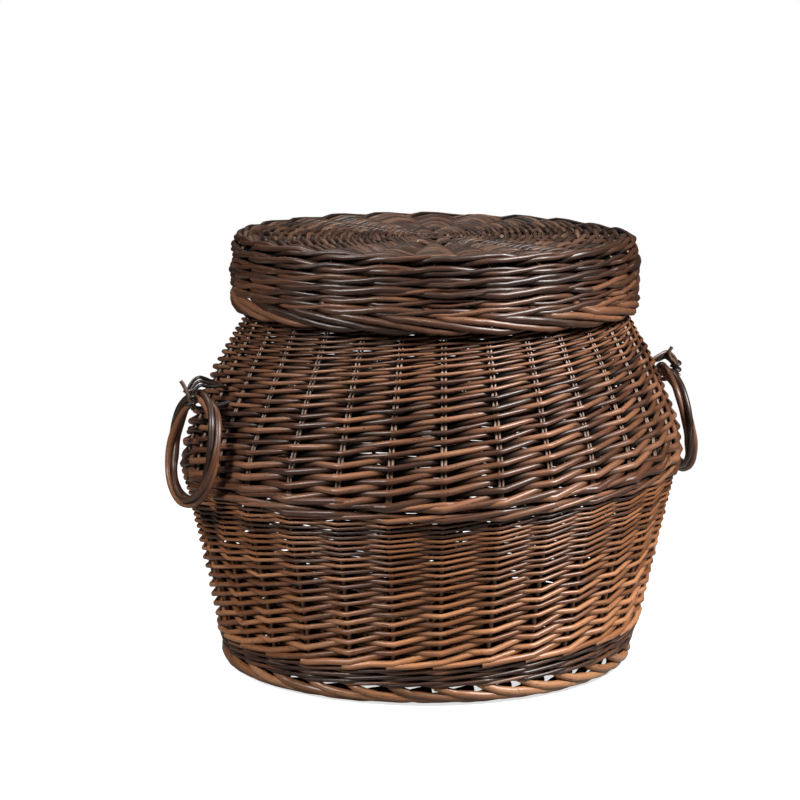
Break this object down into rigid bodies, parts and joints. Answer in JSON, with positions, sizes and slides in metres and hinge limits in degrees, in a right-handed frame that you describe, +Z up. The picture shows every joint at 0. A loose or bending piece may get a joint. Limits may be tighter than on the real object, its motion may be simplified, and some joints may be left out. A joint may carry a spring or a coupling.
{
  "type": "wicker laundry hamper",
  "caption": "Round full-bellied willow laundry hamper with a lift-off lid and hanging ring handles, for holding laundry.",
  "frame": {"origin": "on the floor under the middle of the hamper", "axes": "+Z up, -Y towards the front, +X towards the right-hand handle"},
  "size_m": [0.5712, 0.5242, 0.4442],
  "materials": {
    "stake": "stained and varnished peeled willow, satin",
    "stick": "stained and varnished willow stick, satin",
    "weave": "dark brown stained willow rod, semi-gloss varnish",
    "wale": "dark brown stained willow rod, semi-gloss varnish",
    "lid": "dark brown stained willow rod, semi-gloss varnish",
    "ring": "dark brown stained willow rod, semi-gloss varnish",
    "tie": "nearly black stained thin withy, satin"
  },
  "bodies": {
    "hamper": {"side_stake_01": "stake", "side_stake_02": "stake", "side_stake_03": "stake", "side_stake_04": "stake", "side_stake_05": "stake", "side_stake_06": "stake", "side_stake_07": "stake", "side_stake_08": "stake", "side_stake_09": "stake", "side_stake_10": "stake", "side_stake_11": "stake", "side_stake_12": "stake", "side_stake_13": "stake", "side_stake_14": "stake", "side_stake_15": "stake", "side_stake_16": "stake", "side_stake_17": "stake", "side_stake_18": "stake", "side_stake_19": "stake", "side_stake_20": "stake", "side_stake_21": "stake", "side_stake_22": "stake", "side_stake_23": "stake", "side_stake_24": "stake", "side_stake_25": "stake", "side_stake_26": "stake", "side_stake_27": "stake", "side_stake_28": "stake", "side_stake_29": "stake", "side_stake_30": "stake", "base_pierced_stick_1": "stick", "base_threaded_stick_1": "stick", "base_pierced_stick_2": "stick", "base_threaded_stick_2": "stick", "base_pierced_stick_3": "stick", "base_threaded_stick_3": "stick", "base_pierced_stick_4": "stick", "base_threaded_stick_4": "stick", "base_weave": "weave", "lower_side_weave": "weave", "upper_side_weave": "weave", "foot_border": "wale", "upsett_wale": "wale", "belly_wale": "wale", "rim_wale": "wale", "rim_border": "wale", "handle_tie_left": "tie", "handle_tie_right": "tie"},
    "lid": {"lid_top_weave": "lid", "lid_side_wale": "lid", "lid_border": "lid", "lid_pierced_stick_1": "stick", "lid_threaded_stick_1": "stick", "lid_pierced_stick_2": "stick", "lid_threaded_stick_2": "stick", "lid_pierced_stick_3": "stick", "lid_threaded_stick_3": "stick"},
    "ring_left": {"handle_ring_left": "ring"},
    "ring_right": {"handle_ring_right": "ring"}
  },
  "joints": [
    {"name": "lid_lift", "type": "slide", "parent": "hamper", "child": "lid", "axis": [0, 0, 1], "range_m": [0, 0.2]},
    {"name": "ring_left_swing", "type": "hinge", "parent": "hamper", "child": "ring_left", "pos_m": [-0.25223, -0.05361, 0.293], "axis": [-0.2079, 0.9781, 0], "range_deg": [0, 150]},
    {"name": "ring_right_swing", "type": "hinge", "parent": "hamper", "child": "ring_right", "pos_m": [0.25787, 0, 0.293], "axis": [0, -1, 0], "range_deg": [0, 150]}
  ]
}
